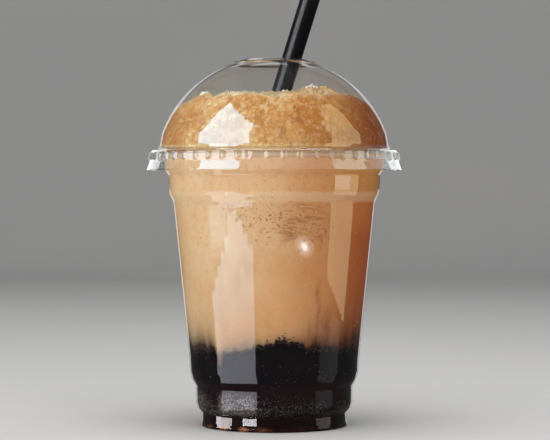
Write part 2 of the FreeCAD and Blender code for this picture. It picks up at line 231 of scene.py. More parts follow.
def lathe(name, loop, segs, shape=None, closed=True):
    """Turns a closed (r, z) outline about Z. segs is one count, or one for each row;
    shape(r, z, phi, row) moves a row's points outwards."""
    verts, faces, starts, counts = [], [], [], []
    for i, (r, z) in enumerate(loop):
        n = segs if isinstance(segs, int) else segs[i]
        if r < 1e-6:
            n = 1
        phi = np.arange(n) * 2 * math.pi / n
        rr = np.full(n, float(r))
        if shape is not None and n > 1:
            rr = rr + shape(r, z, phi, i)
        starts.append(len(verts))
        counts.append(n)
        verts += list(zip(rr * np.sin(phi) * MM, -rr * np.cos(phi) * MM, np.full(n, z * MM)))
    rows = len(loop)
    for i in range(rows if closed else rows - 1):
        j = (i + 1) % rows
        a, na, b, nb = starts[i], counts[i], starts[j], counts[j]
        if na == 1 and nb == 1:
            continue
        if na == 1:
            faces += [(a, b + (k + 1) % nb, b + k) for k in range(nb)]
        elif nb == 1:
            faces += [(a + k, a + (k + 1) % na, b) for k in range(na)]
        else:
            faces += ring_faces(a, na, b, nb)
    return make_object(name, verts, faces)


def polar_solid(name, radius, height, start, end, attrs=None):
    """Closed solid from rows of (radius, height) arrays round Z, with a pole at each end."""
    rows, n = radius.shape
    phi = np.arange(n) * 2 * math.pi / n
    x = radius * np.sin(phi) * MM
    y = -radius * np.cos(phi) * MM
    z = height * MM
    verts = np.stack([x, y, z], axis=-1).reshape(-1, 3)
    verts = np.vstack([[0, 0, start * MM], verts, [0, 0, end * MM]])
    idx = 1 + np.arange(rows * n).reshape(rows, n)
    a, b = idx[:-1], np.roll(idx[:-1], -1, axis=1)
    c, d = np.roll(idx[1:], -1, axis=1), idx[1:]
    quads = np.stack([a, b, c, d], axis=-1).reshape(-1, 4).tolist()
    first, last = idx[0].tolist(), idx[-1].tolist()
    quads += [(0, first[(j + 1) % n], first[j]) for j in range(n)]
    tip = rows * n + 1
    quads += [(last[j], last[(j + 1) % n], tip) for j in range(n)]
    ob = make_object(name, verts, quads)
    for key, values in (attrs or {}).items():
        flat = np.concatenate([[values[0].mean()], values.reshape(-1), [values[-1].mean()]])
        at = ob.data.attributes.new(key, "FLOAT", "POINT")
        at.data.foreach_set("value", flat.astype(np.float32))
    return ob


def ico(level):
    bm = bmesh.new()
    bmesh.ops.create_icosphere(bm, subdivisions=level, radius=1.0)
    bm.verts.ensure_lookup_table()
    v = np.array([p.co[:] for p in bm.verts])
    f = np.array([[q.index for q in fa.verts] for fa in bm.faces])
    bm.free()
    return v, f


def blobs(name, centres, sizes, level, rng, rough=0.0, flat=None, seed=0):
    """One mesh of many small rounded lumps. sizes is (n, 3); flat gives each lump's own axis to be pressed along."""
    base, tri = ico(level)
    n = len(centres)
    verts = np.zeros((n, len(base), 3))
    for i in range(n):
        q = rng.normal(size=4)
        q /= np.linalg.norm(q)
        w, x, y, z = q
        rot = np.array([[1 - 2 * (y * y + z * z), 2 * (x * y - z * w), 2 * (x * z + y * w)],
                        [2 * (x * y + z * w), 1 - 2 * (x * x + z * z), 2 * (y * z - x * w)],
                        [2 * (x * z - y * w), 2 * (y * z + x * w), 1 - 2 * (x * x + y * y)]])
        p = base
        if rough > 0:
            k = 1 + rough * vnoise(base[:, 0] * 1.3 + 7.1 * i, base[:, 1] * 1.3, base[:, 2] * 1.3 - 3.3 * i, seed)
            p = base * k[:, None]
        p = (p * sizes[i]) @ rot.T
        if flat is not None:
            u, keep = flat[i]
            u = np.asarray(u) / np.linalg.norm(u)
            p = p - np.outer(p @ u, u) * (1 - keep)
        verts[i] = p + centres[i]
    faces = (tri[None] + (np.arange(n) * len(base))[:, None, None]).reshape(-1, 3)
    return make_object(name, verts.reshape(-1, 3) * MM, faces.tolist())


# ------------------------------------------------------------------ materials
class Mat:
    """Small helper for building a node material."""

    def __init__(self, name):
        self.m = bpy.data.materials.new(name)
        self.m.use_nodes = True
        self.t = self.m.node_tree
        self.t.nodes.clear()
        self.out = self.t.nodes.new("ShaderNodeOutputMaterial")

    def node(self, kind, inputs=None, **props):
        n = self.t.nodes.new("ShaderNode" + kind)
        for k, v in props.items():
            setattr(n, k, v)
        for k, v in (inputs or {}).items():
            self.put(n.inputs[k], v)
        return n

    def put(self, socket, v):
        if isinstance(v, bpy.types.NodeSocket):
            self.t.links.new(v, socket)
        elif isinstance(v, bpy.types.Node):
            self.t.links.new(v.outputs[0], socket)
        else:
            socket.default_value = v

    def math(self, op, a, b=None, c=None, clamp=False):
        n = self.node("Math", operation=op, use_clamp=clamp)
        for i, v in enumerate((a, b, c)):
            if v is not None:
                self.put(n.inputs[i], v)
        return n.outputs[0]

    def mix(self, fac, a, b, blend="MIX"):
        n = self.node("Mix", data_type="RGBA", blend_type=blend)
        self.put(n.inputs[0], fac)
        self.put(n.inputs[6], a)
        self.put(n.inputs[7], b)
        return n.outputs[2]

    def ramp(self, fac, lo, hi, a=0.0, b=1.0):
        n = self.node("MapRange", {"From Min": lo, "From Max": hi, "To Min": a, "To Max": b},
                      interpolation_type="SMOOTHSTEP", clamp=True)
        self.put(n.inputs["Value"], fac)
        return n.outputs[0]

    def coords(self, scale=(1, 1, 1), shift=(0, 0, 0)):
        tc = self.node("TexCoord")
        mp = self.node("Mapping")
        self.t.links.new(tc.outputs["Object"], mp.inputs["Vector"])
        mp.inputs["Scale"].default_value = scale
        mp.inputs["Location"].default_value = shift
        return mp.outputs[0]

    def noise(self, scale, detail=3.0, rough=0.5, stretch=(1, 1, 1), shift=(0, 0, 0), distort=0.0):
        n = self.node("TexNoise")
        self.t.links.new(self.coords(stretch, shift), n.inputs["Vector"])
        n.inputs["Scale"].default_value = scale
        n.inputs["Detail"].default_value = detail
        n.inputs["Roughness"].default_value = rough
        n.inputs["Distortion"].default_value = distort
        return n.outputs[0]

    def voronoi(self, scale, feature="F1", stretch=(1, 1, 1), out="Distance", rand=1.0):
        n = self.node("TexVoronoi", feature=feature)
        self.t.links.new(self.coords(stretch), n.inputs["Vector"])
        n.inputs["Scale"].default_value = scale
        n.inputs["Randomness"].default_value = rand
        return n.outputs[out]

    def bump(self, height, strength, distance):
        n = self.node("Bump", {"Strength": strength, "Distance": distance})
        self.put(n.inputs["Height"], height)
        return n.outputs[0]

    def attr(self, name):
        n = self.node("Attribute", attribute_name=name, attribute_type="GEOMETRY")
        return n.outputs["Fac"]

    def xyz(self):
        n = self.node("SeparateXYZ")
        self.t.links.new(self.coords(), n.inputs[0])
        return n.outputs

    def surface(self, shader):
        self.put(self.out.inputs["Surface"], shader if isinstance(shader, bpy.types.NodeSocket) else shader.outputs[0])
        return self.m


def colour(r, g, b):
    """sRGB 0-255 to linear."""
    def f(c):
        c /= 255.0
        return c / 12.92 if c <= 0.04045 else ((c + 0.055) / 1.055) ** 2.4
    return (f(r), f(g), f(b), 1.0)


def clear_plastic(name, wave, ior=1.5, tint=(0.985, 0.99, 0.99, 1.0)):
    m = Mat(name)
    slow = m.noise(45.0, 2.0, 0.5)
    fine = m.noise(900.0, 2.0, 0.5)
    height = m.math("ADD", slow, m.math("MULTIPLY", fine, 0.02))
    rough = m.ramp(m.noise(160.0, 4.0, 0.6), 0.3, 0.8, 0.015, 0.06)
    p = m.node("BsdfPrincipled", {"Base Color": tint, "IOR": ior, "Transmission Weight": 1.0,
                                  "Roughness": rough, "Normal": m.bump(height, wave, 0.0006)})
    tr = m.node("BsdfTransparent")
    lp = m.node("LightPath")
    mix = m.node("MixShader")
    m.put(mix.inputs[0], lp.outputs["Is Shadow Ray"])
    m.put(mix.inputs[1], p.outputs[0])
    m.put(mix.inputs[2], tr.outputs[0])
    return m.surface(mix)


# ------------------------------------------------------------------ cup
t = WALL
cup_outer = fillet_path(CUP_PATH)
centre = offset(cup_outer, t / 2)
# the rim: the sheet curls outwards and down
curl_c, curl_r = np.array([centre[-1][0] + 1.6, 111.5]), 1.6
arc = [curl_c + curl_r * np.array([math.cos(math.radians(a)), math.sin(math.radians(a))])
       for a in range(172, -126, -9)]
centre = np.vstack([centre[centre[:, 1] < 111.45], arc])
centre[0, 0] = 0.0
side_a, side_b = offset(centre, -t / 2), offset(centre, t / 2)
side_a[0], side_b[0] = (0, centre[0, 1] - t / 2), (0, centre[0, 1] + t / 2)
part_at = int(np.argmin(np.abs(centre[:, 1] - 6.5) + 10 * (centre[:, 0] < 29.0)))
cup = lathe("cup_shell", np.vstack([side_a[part_at:], side_b[part_at:][::-1]]), 224)
foot_sheet = lathe("cup_foot", np.vstack([side_a[:part_at + 1], side_b[:part_at + 1][::-1]]), 224)

# contents reach just into the sheet
fill_path = offset(cup_outer, WALL - REACH)
fill_path[0, 0] = 0.0


def wall_radius(z):
    """Radius of the contents' side at height z, above the standing ring."""
    up = fill_path[np.argmin(fill_path[:, 1]):]
    keep = np.concatenate([[True], np.diff(up[:, 1]) > 1e-6])
    return np.interp(z, up[keep, 1], up[keep, 0])


# ------------------------------------------------------------------ lid
def dome_r(z, grow=0.0):
    return DOME_CX + np.sqrt(np.maximum((DOME_R + grow) ** 2 - (z - DOME_CZ) ** 2, 0))


LID_PATH = [(52.6, 105.4, 0), (51.15, 109.2, 2.5), (50.75, 112.7, 0.5), (50.2, 113.5, 0.5), (47.9, 114.15, 0.5),
            (47.1, 115.6, 1.0)]
lid_pts = list(LID_PATH)
for z in (DOME_LOW_Z,):
    lid_pts.append((float(dome_r(z)), z, 8.0))
arc_top = 148.95
angles = np.linspace(math.atan2(DOME_LOW_Z - DOME_CZ, dome_r(DOME_LOW_Z) - DOME_CX),
                     math.atan2(arc_top - DOME_CZ, dome_r(arc_top) - DOME_CX), 34)[1:]
for a in angles:
    lid_pts.append((DOME_CX + DOME_R * math.cos(a), DOME_CZ + DOME_R * math.sin(a), 0))
lid_pts += [(CROWN_R + 0.6, 149.75, 0.3), (CROWN_R, 150.05, 0.3), (15.3, 150.2, 0.5), (12.1, 151.05, 0.4),
            (HOLE_R, 151.0, 0)]
lid_outer = fillet_path(lid_pts)
FINE, COARSE = RIBS * 16, RIBS * 4


def ribs(r, z, phi, row):
    if z > 113.0 or z < 108.6 or r < 49:
        return 0.0
    up = smooth((z - 108.9) / 1.0) * smooth((112.9 - z) / 0.7)
    u = (((phi - 0.0755) * RIBS / (2 * math.pi) + 0.5) % 1.0 - 0.5) * 6.2
    return 0.72 * up * np.where(np.abs(u) < 1.45, np.cos(u * math.pi / 2.9) ** 1.4, 0.0)


# rows are needed where the ribs rise and fall
def with_rows(path, lo, hi, step):
    out = [path[0]]
    for p, q in zip(path[:-1], path[1:]):
        n = 1
        if p[0] > 49 and q[0] > 49 and min(p[1], q[1]) < hi and max(p[1], q[1]) > lo:
            n = max(1, int(math.ceil(abs(q[1] - p[1]) / step)))
        out += [p + (q - p) * k / n for k in range(1, n + 1)]
    return np.array(out)


lid_outer = with_rows(lid_outer, 108.6, 113.0, 0.28)
meet = int(np.argmin(np.abs(lid_outer[:, 0] - 48.6) + 10 * (lid_outer[:, 1] > 120)))
skirt_out = lid_outer[:meet + 1]
skirt_in = offset(lid_outer, WALL)[:meet + 1]
thin = np.where(skirt_out[:, 0] > 50.9, 0.22 + 0.78 * smooth((skirt_out[:, 1] - 105.4) / 2.6), 1.0)
skirt_in = skirt_out + (skirt_in - skirt_out) * thin[:, None]
mid_p, half = (skirt_out[0] + skirt_in[0]) / 2, (skirt_out[0] - skirt_in[0]) / 2
down = np.array([half[1], -half[0]])
tip = [mid_p + math.cos(q) * -half + math.sin(q) * down for q in np.linspace(0, math.pi, 9)[1:-1]]
skirt_loop = np.vstack([skirt_out, skirt_in[::-1], tip])
top_at = int(np.argmax(lid_outer[:, 1] > 149.3))
dome_loop = np.vstack([lid_outer[meet:top_at + 1], offset(lid_outer, WALL)[meet:top_at + 1][::-1]])
crown_loop = np.vstack([lid_outer[top_at:], offset(lid_outer, WALL)[top_at:][::-1]])
skirt = lathe("lid_skirt", skirt_loop, [FINE if z < 113.0 else COARSE for r, z in skirt_loop], ribs)
lid = lathe("lid_dome", dome_loop, 224)
crown = lathe("lid_crown", crown_loop, 224)

# ------------------------------------------------------------------ straw
ro, ri = STRAW_R, STRAW_R - STRAW_WALL
e = 0.08
loop = [(ro, e), (ro, 1.0)] + [(ro, z) for z in np.linspace(2, STRAW_LEN - 2, 40)]
loop += [(ro, STRAW_LEN - 1.0), (ro, STRAW_LEN - e), (ro - e, STRAW_LEN), (ri + e, STRAW_LEN), (ri, STRAW_LEN - e),
         (ri, STRAW_LEN - 1.0)]
loop += [(ri, z) for z in np.linspace(STRAW_LEN - 2, 2, 20)]
loop += [(ri, 1.0), (ri, e), (ri + e, 0), (ro - e, 0)]
straw = lathe("straw_tube", loop, 96)
place = Matrix.Translation(Vector(STRAW_LOW) * MM) @ Matrix.Rotation(STRAW_TILT, 4, "Y")
straw.data.transform(place)


# ------------------------------------------------------------------ contents
def jelly_top(x, y):
    """Top of the dark layer, mm."""
    r = np.hypot(x, y)
    phi = np.arctan2(x, -y)
    z = 32.3 + 0.9 * vnoise(x / 11, y / 11, 0 * x, 3)
    f1, f2, who = worley(x / 5.2, y / 5.2, 0 * x + 0.5, 11)
    z = z + 2.1 * (smooth(1.15 - 1.25 * f1) - 0.45) * (0.5 + 0.7 * who)
    z = z + 0.9 * fbm(x / 1.6, y / 1.6, 0 * x + 2.2, 21, 3, 0.6)
    out = smooth((r - 24) / 8)
    # at the front the drink runs down in one narrow tongue, left of the middle
    z = z - out * 6.6 * np.exp(-((phi + 0.677) / 0.040) ** 2)
    z = z - out * 1.6 * np.exp(-((phi + 0.59) / 0.09) ** 2)
    z = z - out * 1.5 * np.exp(-((phi + 0.36) / 0.10) ** 2)
    z = z - out * 1.3 * np.exp(-((phi + 0.487) / 0.05) ** 2)
    z = z - out * 1.3 * smooth((-0.78 - phi) / 0.1) * smooth((phi + 1.6) / 0.3)
    z = z + out * 2.7 * np.exp(-((phi - 0.12) / 0.20) ** 2)
    z = z - out * 1.6 * np.exp(-((phi - 0.37) / 0.03) ** 2)
    z = z - out * 1.4 * np.exp(-((phi - 0.75) / 0.10) ** 2)
    z = z - out * 4.0 * np.exp(-((phi - 2.3) / 0.10) ** 2) - out * 3.0 * np.exp(-((phi + 2.2) / 0.12) ** 2)
    return z


N = 640
phi = np.arange(N) * 2 * math.pi / N
sinp, cosp = np.sin(phi), -np.cos(phi)

edge_z = jelly_top(34.6 * sinp, 34.6 * cosp)
# jelly: up the inside of the foot, the wall to the edge, then the lumpy top
foot = fill_path[(fill_path[:, 1] < 23.0)]
rows_r, rows_z = [], []
for r, z in foot[1:]:
    rows_r.append(np.full(N, r))
    rows_z.append(np.full(N, z))
z0 = foot[-1][1]
for k in range(1, 15):
    z = z0 + (edge_z - z0) * k / 14
    rows_r.append(wall_radius(z))
    rows_z.append(z)
edge_r = rows_r[-1]
for f in np.linspace(1, 0, 26)[1:-1] ** 0.8:
    r = edge_r * f
    rows_r.append(r)
    rows_z.append(jelly_top(34.6 * f * sinp, 34.6 * f * cosp))
jelly = polar_solid("jelly_layer_body", np.array(rows_r), np.array(rows_z), foot[0][1], float(rows_z[-1].mean()))

# drink: the same lumpy surface below, then the wall up to the fill line
rows_r, rows_z, above = [], [], []
for f in np.linspace(0, 1, 26)[1:-1] ** 0.8:
    rows_r.append(edge_r * f)
    rows_z.append(jelly_top(34.6 * f * sinp, 34.6 * f * cosp))
    above.append(np.zeros(N))
levels = np.concatenate([np.linspace(0, 0.06, 10), np.linspace(0.06, 1, 68)[1:]])
for k in levels:
    z = edge_z + (FILL_Z - edge_z) * k
    rows_r.append(wall_radius(z))
    rows_z.append(z)
    above.append(z - edge_z)
for f in (0.9, 0.5, 0.2):
    rows_r.append(rows_r[26 + len(levels) - 3] * 0 + 45.0 * f)
    rows_z.append(np.full(N, FILL_Z))
    above.append(np.full(N, 80.0))
drink = polar_solid("drink_body", np.array(rows_r), np.array(rows_z), float(rows_z[0].mean()), FILL_Z,
                    {"above": np.array(above)})


# ------------------------------------------------------------------ slush heap
def heap_top(x, y):
    """Free top of the slush, mm, without its grain."""
    r = np.hypot(x, y)
    front = smooth((-y / np.maximum(r, 1e-6) - 0.12) / 0.55)
    z = 135.7 - (4.2 - 3.3 * front) * smooth((r - 26.0) / 13.5)
    z = z + 0.9 * vnoise(x / 13, y / 13, 0 * x + 3.1, 5)
    f1, f2, who = worley(x / 8.5, y / 8.5, 0 * x + 0.5, 71)
    z = z + 1.5 * (smooth(1.1 - 1.1 * f1) - 0.4) * (0.4 + 0.9 * who)
    z = z + 4.2 * bump(x, y, 15.0, -8.0, 14.0) + 1.0 * bump(x, y, -17.0, -9.0, 12.0)
    z = z - 1.6 * np.exp(-((x + 23.6) / 1.9) ** 2)
    return z


def grain(x, y, z, seed=0):
    """Relief of the slush's grains, about 0 to 1."""
    wx = x + 0.9 * vnoise(x / 2.5, y / 2.5, z / 2.5, 91)
    wy = y + 0.9 * vnoise(x / 2.5, y / 2.5, z / 2.5, 92)
    f1, f2, who = worley(wx / 2.5, wy / 2.5, z / 2.5, 41 + seed)
    g1, g2, gw = worley(wx / 1.25, wy / 1.25, z / 1.25, 57 + seed)
    big = smooth(1.2 - 1.25 * f1) * (0.35 + 0.65 * who)
    small = smooth(1.2 - 1.3 * g1) * (0.4 + 0.6 * gw)
    return 0.6 * big + 0.4 * small


NH = 704
hp = np.arange(NH) * 2 * math.pi / NH
hs, hc = np.sin(hp), -np.cos(hp)


def inner_dome_r(z):
    r = dome_r(z, -WALL)
    foot_r = np.interp(z, [113.6, 115.6, DOME_LOW_Z], [46.75, 46.7, float(dome_r(DOME_LOW_Z, -WALL))])
    return np.where(z < DOME_LOW_Z, foot_r, r)


# where the free top meets the dome
lo, hi = np.full(NH, 28.0), np.full(NH, 46.0)
for _ in range(30):
    mid = (lo + hi) / 2
    zt = heap_top(mid * hs, mid * hc)
    inside = inner_dome_r(zt) > mid
    lo, hi = np.where(inside, mid, lo), np.where(inside, hi, mid)
rim_r = (lo + hi) / 2
rim_z = heap_top(rim_r * hs, rim_r * hc)

rows_r, rows_z, froth, crest = [], [], [], []
for r, z in ((30.0, 112.0), (45.05, 112.0), (45.2, 113.1), (46.5, 113.7)):
    rows_r.append(np.full(NH, r))
    rows_z.append(np.full(NH, z))
    froth.append(np.zeros(NH))
    crest.append(np.full(NH, 0.5))
SIDE = 58
for k in range(1, SIDE + 1):
    z = 113.7 + (rim_z - 113.7) * k / SIDE
    r = inner_dome_r(z)
    g = grain(r * hs, r * hc, z)
    wet = 0.5 + 0.5 * vnoise(r * hs / 9, r * hc / 9, z / 9, 77)
    gap = np.maximum(0, 0.34 + 0.22 * wet - g) * 1.2            # grains that don't reach the plastic
    near = smooth(1 - (rim_z - z) / 3.5)
    rows_r.append(r + REACH - gap * (0.55 + 0.6 * near))
    rows_z.append(z)
    froth.append(0.75 * smooth(1 - (rim_z - z) / (0.8 + 0.9 * wet)))
    crest.append(g)
TOP = 58
for k in range(1, TOP):
    f = 1 - (k / TOP) ** 1.05
    r = rim_r * f
    x, y = r * hs, r * hc
    z = heap_top(x, y)
    g = grain(x, y, z)
    fade = smooth(k / 2.0)
    rows_r.append(r)
    rows_z.append(z + fade * (1.3 * g - 0.5) + 0.25 * fade * fbm(x / 1.1, y / 1.1, z / 1.1, 12, 2))
    froth.append(np.full(NH, 0.62) + 0.3 * smooth(1 - (rim_r - r) / 2.5))
    crest.append(g)
heap = polar_solid("slush_heap_body", np.array(rows_r), np.array(rows_z), 112.0, float(rows_z[-1].mean()),
                   {"froth": np.array(froth), "crest": np.array(crest)})

# ------------------------------------------------------------------ small things
rng = np.random.default_rng(20260)


def on_wall(p, z, deep=0.0):
    r = wall_radius(z) - deep
    return np.stack([r * np.sin(p), -r * np.cos(p), z], axis=-1)


def out_of(p, tilt=0.0):
    return np.stack([np.sin(p) * math.cos(tilt), -np.cos(p) * math.cos(tilt), np.full(len(p), math.sin(tilt))], axis=-1)


# dark pits and coffee specks in the upper half of the drink
cl = [(0.04, 85.0, 0.22, 4.6, 420), (0.35, 82.0, 0.17, 3.8, 190), (-0.24, 87.0, 0.13, 3.6, 100), (0.05, 98.5, 0.32, 3.2, 60),
      (0.1, 106.5, 0.4, 1.2, 26),
      (1.6, 82.0, 0.6, 9.0, 70), (-1.7, 80.0, 0.6, 9.0, 70), (3.0, 84.0, 0.7, 8.0, 90), (0.5, 105.0, 0.5, 2.5, 14)]
P, Z = [], []
for p0, zc, sp, sz, n in cl:
    P.append(rng.normal(p0, sp, n))
    Z.append(rng.normal(zc, sz, n))
P, Z = np.concatenate(P), np.concatenate(Z)
keep = (Z > 60) & (Z < 110)
P, Z = P[keep], Z[keep]
size = 0.10 + 0.34 * rng.random(len(P)) ** 3.0
specks = blobs("drink_pits", on_wall(P, Z, 0.02), np.stack([size * 1.2, size, size], 1), 1, rng, 0.25,
               [(u, 0.3) for u in out_of(P)])

# crumbs of the dark layer carried up into the drink above it
n = 700
P = rng.uniform(-math.pi, math.pi, n)
zb = np.interp(P % (2 * math.pi), phi, edge_z, period=2 * math.pi)
up = np.abs(rng.normal(0, 1.0, n)) * (0.8 + 0.9 * (vnoise(P * 7, 0 * P, 0 * P, 15) + 1)) - 0.3
keep = vnoise(P * 30, up / 1.4, 0 * P, 16) > -0.25
P, Z = P[keep], (zb + up)[keep]
size = 0.16 + 0.28 * rng.random(len(P)) ** 1.6
crumbs_dark = blobs("jelly_crumbs", on_wall(P, Z, 0.06), np.stack([size * 1.15, size, size], 1), 2, rng, 0.3,
                    [(u, 0.55) for u in out_of(P)])

# pale bubbles all over the drink
n = 420
P = rng.uniform(-math.pi, math.pi, n)
Z = 38 + 72 * rng.random(n) ** 0.9
size = 0.12 + 0.28 * rng.random(n) ** 2.5
bubbles = blobs("drink_bubbles", on_wall(P, Z, 0.02), np.stack([size, size, size], 1), 1, rng, 0.0,
                [(u, 0.35) for u in out_of(P)])

# grit of fine bubbles in the syrup round the lower band
n = 6000
P = rng.uniform(-math.pi, math.pi, n)
Z = 6.7 + np.abs(rng.normal(0, 1, n)) * 3.4
keep = (Z < 17) & (vnoise(P * 5, Z / 2.2, 0 * Z, 8) > -0.35)
P, Z = P[keep], Z[keep]
size = 0.07 + 0.15 * rng.random(len(P)) ** 2.0
grit = blobs("syrup_bubbles", on_wall(P, Z, 0.02), np.stack([size, size, size], 1), 1, rng, 0.2,
             [(u, 0.6) for u in out_of(P)])

# a few bubbles higher in the dark layer
n = 190
P = rng.uniform(-math.pi, math.pi, n)
Z = 14 + 17 * rng.random(n) ** 0.6
size = 0.10 + 0.14 * rng.random(n)
few = blobs("jelly_bubbles", on_wall(P, Z, 0.02), np.stack([size, size, size], 1), 1, rng, 0.0,
            [(u, 0.35) for u in out_of(P)])

# froth: pale lumps and bubbles on top of the slush and along the dome
C, S = [], []
for x, y, s in ((-27.6, -6.0, 1.7), (-25.9, -3.0, 1.2), (-29.3, -8.0, 1.3), (-28.4, 0.0, 1.2), (15.4, -9.0, 1.3), (13.6, -10.5, 1.0),
                (16.9, -11.0, 0.9), (4.0, -14.0, 0.7), (-14.0, -12.0, 0.8), (-12.2, -11.0, 0.6)):
    C.append((x, y, float(heap_top(np.array(x), np.array(y))) + 0.1 * s))
    S.append(s)
for _ in range(14):
    a, r = rng.uniform(-math.pi, math.pi), 33 * math.sqrt(rng.random())
    x, y = r * math.sin(a), -r * math.cos(a)
    s = 0.5 + 0.7 * rng.random() ** 2
    if abs(x + 24.2) < 3 and s > 1.0:
        continue
    C.append((x, y, float(heap_top(np.array(x), np.array(y))) + 0.2 * s))
    S.append(s)
S = np.array(S)
lumps = blobs("froth_lumps", np.array(C), np.stack([S * 1.2, S, S * 0.75], 1), 3, rng, 0.35, None, 5)

n = 420
a = rng.uniform(-math.pi, math.pi, n)
j = ((a % (2 * math.pi)) / (2 * math.pi) * NH).astype(int) % NH
down = np.abs(rng.normal(0, 0.9, n))
z = rim_z[j] - down
r = inner_dome_r(z) + 0.02
size = 0.12 + 0.26 * rng.random(n) ** 2
froth_b = blobs("froth_bubbles", np.stack([r * np.sin(a), -r * np.cos(a), z], 1), np.stack([size] * 3, 1), 1, rng, 0.1,
                [(u, 0.45) for u in out_of(a, 0.6)])

# loose grains on the free top
n = 420
a, r = rng.uniform(-math.pi, math.pi, n), 37 * np.sqrt(rng.random(n))
x, y = r * np.sin(a), -r * np.cos(a)
z = heap_top(x, y)
z = z + (1.3 * grain(x, y, z) - 0.6)
size = 0.25 + 0.4 * rng.random(n) ** 1.6
crumbs = blobs("slush_grains", np.stack([x, y, z + 0.1], 1), np.stack([size * 1.3, size, size * 0.8], 1), 1, rng, 0.45)


# ------------------------------------------------------------------ looks
cup_mat = clear_plastic("clear_cup_sheet", 0.10)
lid_mat = clear_plastic("clear_lid_sheet", 0.14)

m = Mat("black_straw_plastic")
# drawn tube: faint lines along its length, in the straw's own axis
ax = m.node("Mapping", vector_type="TEXTURE")
tc = m.node("TexCoord")
m.t.links.new(tc.outputs["Object"], ax.inputs["Vector"])
ax.inputs["Rotation"].default_value = (0, STRAW_TILT, 0)
lines = m.node("TexNoise", {"Scale": 1.0, "Detail": 2.0})
st = m.node("Mapping", {"Scale": (1600, 1600, 30)})
m.t.links.new(ax.outputs[0], st.inputs["Vector"])
m.t.links.new(st.outputs[0], lines.inputs["Vector"])
cloud = m.noise(90.0, 3.0)
base = m.mix(m.ramp(cloud, 0.35, 0.7), (0.004, 0.004, 0.005, 1), (0.007, 0.007, 0.0085, 1))
rough = m.ramp(lines.outputs[0], 0.3, 0.7, 0.20, 0.28)
straw_mat = m.surface(m.node("BsdfPrincipled", {"Base Color": base, "Roughness": rough, "IOR": 1.45,
                                                "Normal": m.bump(lines.outputs[0], 0.10, 0.0002)}))

# tan blended drink
m = Mat("blended_drink")
x_, y_, z_ = m.xyz()
light = colour(240, 212, 172)
mid = colour(232, 196, 150)
deep = colour(218, 174, 124)
c = m.mix(m.ramp(m.noise(28.0, 3.0, 0.5), 0.35, 0.65), mid, light)
c = m.mix(m.math("MULTIPLY", m.ramp(m.noise(110.0, 5.0, 0.6, (1, 1, 0.45)), 0.45, 0.75), 0.55), c, deep)
c = m.mix(m.math("MULTIPLY", m.ramp(m.noise(700.0, 2.0, 0.6), 0.50, 0.70), 0.35), c, light)
mottle = m.math("MULTIPLY", m.ramp(m.noise(420.0, 3.0, 0.65, shift=(4, 1, 6)), 0.50, 0.66), m.ramp(z_, 0.060, 0.085, 0.14, 0.42))
c = m.mix(mottle, c, colour(206, 154, 98))
# painted shade: the drink turns amber towards the right side, away from the light
right_side_shade = m.ramp(m.math("ADD", x_, m.math("MULTIPLY", m.math("SUBTRACT", m.noise(40.0, 3.0, 0.5), 0.5), 0.02)), -0.034, 0.040)
c = m.mix(m.math("MULTIPLY", right_side_shade, 0.8), c, colour(226, 152, 82))
# painted shade: the right edge darker and redder, where the light falls off
right_edge_shade = m.ramp(x_, 0.019, 0.036)
right_edge_shade_colour = m.mix(m.ramp(z_, 0.076, 0.088), colour(194, 94, 28), colour(214, 126, 54))
right_edge_shade_colour = m.mix(m.ramp(z_, 0.0930, 0.0975), right_edge_shade_colour, colour(208, 138, 66))
c = m.mix(m.math("MULTIPLY", right_edge_shade, 0.76), c, right_edge_shade_colour)
# painted light: the left edge lighter, where the light falls
c = m.mix(m.ramp(x_, -0.030, -0.044, 0.0, 0.25), c, colour(236, 190, 128))
# painted light: a lighter zone on the upper left of the body
upper_left_light = m.math("MULTIPLY", m.math("MULTIPLY", m.ramp(z_, 0.064, 0.080), m.ramp(z_, 0.104, 0.096, 0.3, 1.0)), m.ramp(x_, 0.014, -0.002, 0.0, 0.38))
c = m.mix(upper_left_light, c, colour(252, 224, 184))
# painted light: a lighter band at the neck, brightest on the left
neck_light_and_shade = m.math("MULTIPLY", m.ramp(z_, 0.0970, 0.0995), m.ramp(x_, 0.030, -0.020, 0.0, 0.12))
c = m.mix(neck_light_and_shade, c, colour(252, 226, 192))
# painted shade: the neck darker amber on the right
neck_light_and_shade = m.math("MULTIPLY", m.ramp(z_, 0.0945, 0.0975), m.ramp(x_, 0.016, 0.028, 0.0, 0.45))
c = m.mix(neck_light_and_shade, c, colour(234, 184, 116))
ang = m.math("ARCTAN2", x_, m.math("MULTIPLY", y_, -1.0))
warp = m.math("MULTIPLY", m.math("SUBTRACT", m.noise(60.0, 2.0, 0.5, (0.3, 0.3, 1.0)), 0.5), 0.16)
angw = m.math("ADD", ang, warp)


def band(centre_a, width, z_lo, z_hi, soft):
    d = m.math("ABSOLUTE", m.math("SUBTRACT", angw, centre_a))
    a = m.ramp(d, width, 0.0)
    b = m.ramp(z_, z_lo - soft, z_lo + soft)
    c2 = m.ramp(z_, z_hi + soft, z_hi - soft)
    return m.math("MULTIPLY", a, m.math("MULTIPLY", b, c2))


